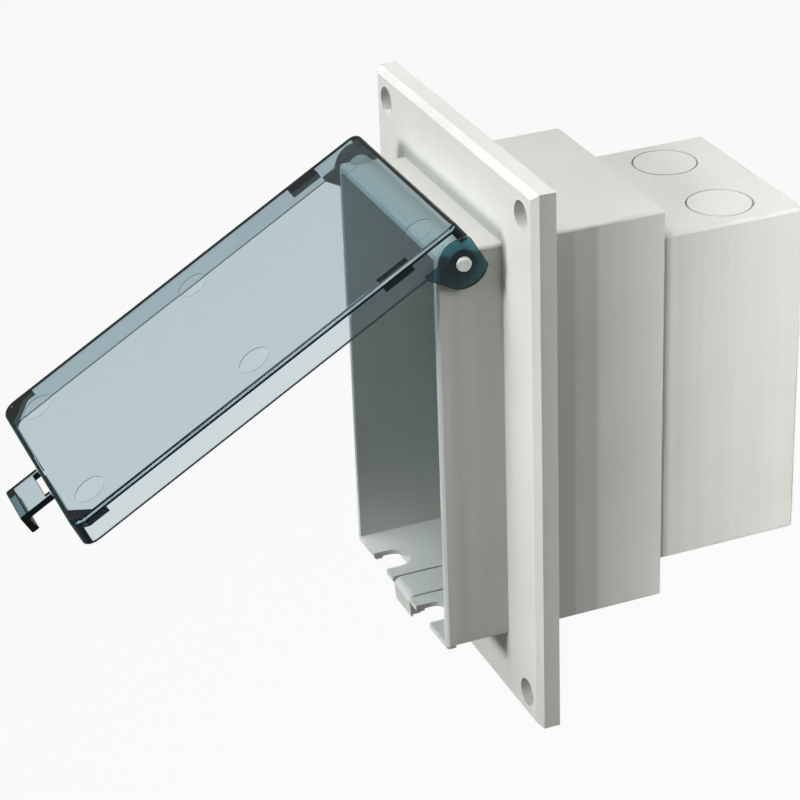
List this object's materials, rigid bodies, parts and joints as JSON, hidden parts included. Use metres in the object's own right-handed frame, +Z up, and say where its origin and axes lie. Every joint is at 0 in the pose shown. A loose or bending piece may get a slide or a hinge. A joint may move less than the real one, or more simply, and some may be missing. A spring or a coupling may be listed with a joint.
{
  "type": "recessed weatherproof electrical box",
  "caption": "Recessed outdoor electrical box: wall flange, deep housing, screwed-in device box with knockouts, and a hinged see-through cover with a snap latch.",
  "frame": {"origin": "centre of the flange's back face, on the wall's surface", "axes": "+Z up the wall, -Y out of the wall towards the user, +X to the right for someone who faces the box"},
  "size_m": [0.124, 0.2579, 0.188],
  "materials": {
    "shell": "fine matte moulded plastic, warm light grey",
    "rear_box": "fine matte moulded plastic, warm light grey",
    "discs": "matte moulded plastic",
    "pins": "smooth matte plastic",
    "cover_tint": "clear smoky blue-grey polycarbonate, polished",
    "seal": "closed-cell sheet seal",
    "screws": "stainless, domed heads",
    "inserts": "turned, threaded inside"
  },
  "bodies": {
    "root": {"housing": "shell", "device_box": "rear_box", "box_gasket": "seal", "box_screw_top_left": "screws", "box_screw_top_right": "screws", "box_screw_bottom_left": "screws", "box_screw_bottom_right": "screws", "knockout_top_left": "discs", "knockout_top_right": "discs", "knockout_bottom_left": "discs", "knockout_bottom_right": "discs", "hinge_pin_left": "pins", "hinge_pin_right": "pins", "device_insert_top": "inserts", "device_insert_bottom": "inserts"},
    "cover": {"cover": "cover_tint"},
    "latch": {"cover_latch": "cover_tint"},
    "keeper": {"latch_keeper": "shell"}
  },
  "joints": [
    {"name": "cover_hinge", "type": "hinge", "parent": "root", "child": "cover", "pos_m": [0, -0.0218, 0.0675], "axis": [-1, 0, 0], "range_deg": [-60, 50]},
    {"name": "latch_flex", "type": "hinge", "parent": "cover", "child": "latch", "pos_m": [0, -0.14664, 0.00073], "axis": [-1, 0, 0], "range_deg": [0, 12], "stiffness_Nm_per_rad": 0.4},
    {"name": "keeper_flex", "type": "hinge", "parent": "root", "child": "keeper", "pos_m": [0, -0.0107, -0.0691], "axis": [-1, 0, 0], "range_deg": [0, 4], "stiffness_Nm_per_rad": 0.8}
  ]
}
